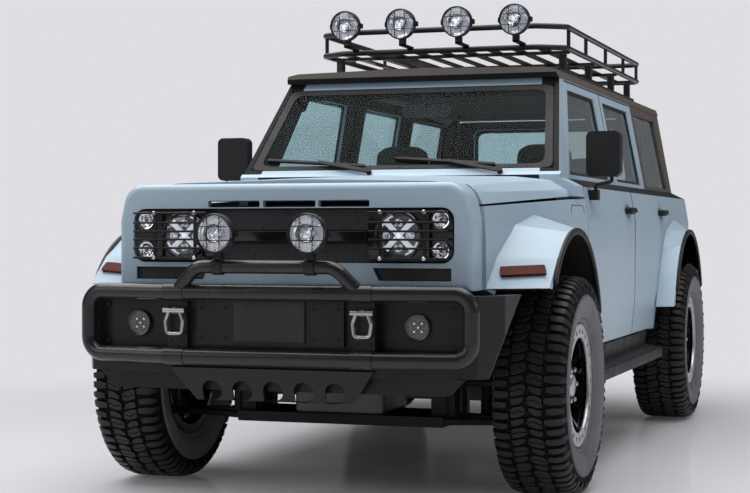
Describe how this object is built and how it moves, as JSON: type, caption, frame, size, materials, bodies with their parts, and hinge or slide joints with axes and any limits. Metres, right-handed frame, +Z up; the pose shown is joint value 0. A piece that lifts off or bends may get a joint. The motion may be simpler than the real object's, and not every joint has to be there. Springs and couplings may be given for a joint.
{
  "type": "electric off-road vehicle",
  "caption": "Four-door electric off-road vehicle with roof rack, tube bumper, flared arches, opening doors, hood and tailgate, steering and rolling wheels.",
  "frame": {"origin": "on the ground, midway along the whole length and across the width", "axes": "+Z up, the vehicle faces -Y, +X is its left-hand side"},
  "size_m": [1.932, 4.941, 2.058],
  "materials": {
    "paint": "satin",
    "roof_finish": "satin",
    "black_trim": "textured",
    "black_steel": "satin powder coat",
    "chassis_steel": "matt",
    "tyre_rubber": "matt",
    "rim_alloy": "gloss black with bare ring",
    "clear_glass": "tinted",
    "side_tint": "smoked",
    "lamp_lens": "clear over chrome",
    "bright_steel": "brushed",
    "seat_cloth": "woven",
    "dash_plastic": "grained",
    "lamp_colour": "gloss",
    "battery_case": "plain"
  },
  "bodies": {
    "vehicle": {"chassis_frame": "chassis_steel", "battery_pack": "battery_case", "drive_units": "battery_case", "front_suspension": "chassis_steel", "rear_suspension": "chassis_steel", "body_shell": "paint", "body_side_left": "paint", "body_side_right": "paint", "screen_frame": "paint", "front_structure": "paint", "rear_frame": "paint", "hard_top": "roof_finish", "front_fenders": "paint", "rear_flares": "paint", "arch_trims": "black_trim", "nose_panel": "paint", "grille": "black_trim", "lamp_clusters": "lamp_lens", "lamp_guards": "black_steel", "fixed_glass": "clear_glass", "dashboard": "dash_plastic", "seats": "seat_cloth", "bumper_front": "black_steel", "bumper_loop": "black_steel", "skid_plate": "black_steel", "shackles": "bright_steel", "auxiliary_lamps": "lamp_lens", "roof_rack": "black_steel", "rack_deck": "black_steel", "wipers": "black_trim", "running_boards": "black_trim", "bumper_rear": "black_steel", "outer_lamps": "lamp_colour"},
    "knuckle_left": {"front_knuckle_left": "chassis_steel"},
    "knuckle_right": {"front_knuckle_right": "chassis_steel"},
    "wheel_front_left": {"tyre_front_left": "tyre_rubber", "rim_front_left": "rim_alloy"},
    "wheel_front_right": {"tyre_front_right": "tyre_rubber", "rim_front_right": "rim_alloy"},
    "wheel_rear_left": {"tyre_rear_left": "tyre_rubber", "rim_rear_left": "rim_alloy"},
    "wheel_rear_right": {"tyre_rear_right": "tyre_rubber", "rim_rear_right": "rim_alloy"},
    "front_door_left": {"door_front_left": "paint", "glass_front_left": "side_tint", "mirror_left": "black_trim"},
    "front_door_right": {"door_front_right": "paint", "glass_front_right": "side_tint", "mirror_right": "black_trim"},
    "rear_door_left": {"door_rear_left": "paint", "glass_rear_left": "side_tint"},
    "rear_door_right": {"door_rear_right": "paint", "glass_rear_right": "side_tint"},
    "hood_lid": {"hood": "paint"},
    "rear_gate": {"tailgate": "paint", "glass_tailgate": "side_tint", "tyre_spare": "tyre_rubber", "rim_spare": "rim_alloy"},
    "hand_wheel": {"steering_wheel": "dash_plastic"}
  },
  "joints": [
    {"name": "steer_left", "type": "hinge", "parent": "vehicle", "child": "knuckle_left", "pos_m": [0.77, -1.4875, 0.425], "axis": [0, 0, 1], "range_deg": [-25, 25]},
    {"name": "steer_right", "type": "hinge", "parent": "vehicle", "child": "knuckle_right", "pos_m": [-0.77, -1.4875, 0.425], "axis": [0, 0, 1], "range_deg": [-25, 25]},
    {"name": "hand_wheel_turn", "type": "hinge", "parent": "vehicle", "child": "hand_wheel", "pos_m": [0.37, -0.4675, 1.11], "axis": [0, 0.9135, 0.4067], "range_deg": [-375, 375]},
    {"name": "spin_front_left", "type": "hinge", "parent": "knuckle_left", "child": "wheel_front_left", "pos_m": [0.82, -1.4875, 0.425], "axis": [1, 0, 0], "continuous": true},
    {"name": "spin_front_right", "type": "hinge", "parent": "knuckle_right", "child": "wheel_front_right", "pos_m": [-0.82, -1.4875, 0.425], "axis": [1, 0, 0], "continuous": true},
    {"name": "spin_rear_left", "type": "hinge", "parent": "vehicle", "child": "wheel_rear_left", "pos_m": [0.82, 1.4625, 0.425], "axis": [1, 0, 0], "continuous": true},
    {"name": "spin_rear_right", "type": "hinge", "parent": "vehicle", "child": "wheel_rear_right", "pos_m": [-0.82, 1.4625, 0.425], "axis": [1, 0, 0], "continuous": true},
    {"name": "open_front_left", "type": "hinge", "parent": "vehicle", "child": "front_door_left", "pos_m": [0.831, -0.7975, 1], "axis": [0, 0, -1], "range_deg": [0, 65]},
    {"name": "open_front_right", "type": "hinge", "parent": "vehicle", "child": "front_door_right", "pos_m": [-0.831, -0.7975, 1], "axis": [0, 0, 1], "range_deg": [0, 65]},
    {"name": "open_rear_left", "type": "hinge", "parent": "vehicle", "child": "rear_door_left", "pos_m": [0.831, 0.3425, 1], "axis": [0, 0, -1], "range_deg": [0, 65]},
    {"name": "open_rear_right", "type": "hinge", "parent": "vehicle", "child": "rear_door_right", "pos_m": [-0.831, 0.3425, 1], "axis": [0, 0, 1], "range_deg": [0, 65]},
    {"name": "lift_hood", "type": "hinge", "parent": "vehicle", "child": "hood_lid", "pos_m": [0, -0.9275, 1.268], "axis": [-1, 0, 0], "range_deg": [0, 50]},
    {"name": "swing_gate", "type": "hinge", "parent": "vehicle", "child": "rear_gate", "pos_m": [-0.59, 2.1605, 1], "axis": [0, 0, 1], "range_deg": [0, 95]}
  ],
  "couplings": [
    {"joint": "steer_right", "follows": "steer_left", "ratio": 1},
    {"joint": "hand_wheel_turn", "follows": "steer_left", "ratio": 15}
  ]
}
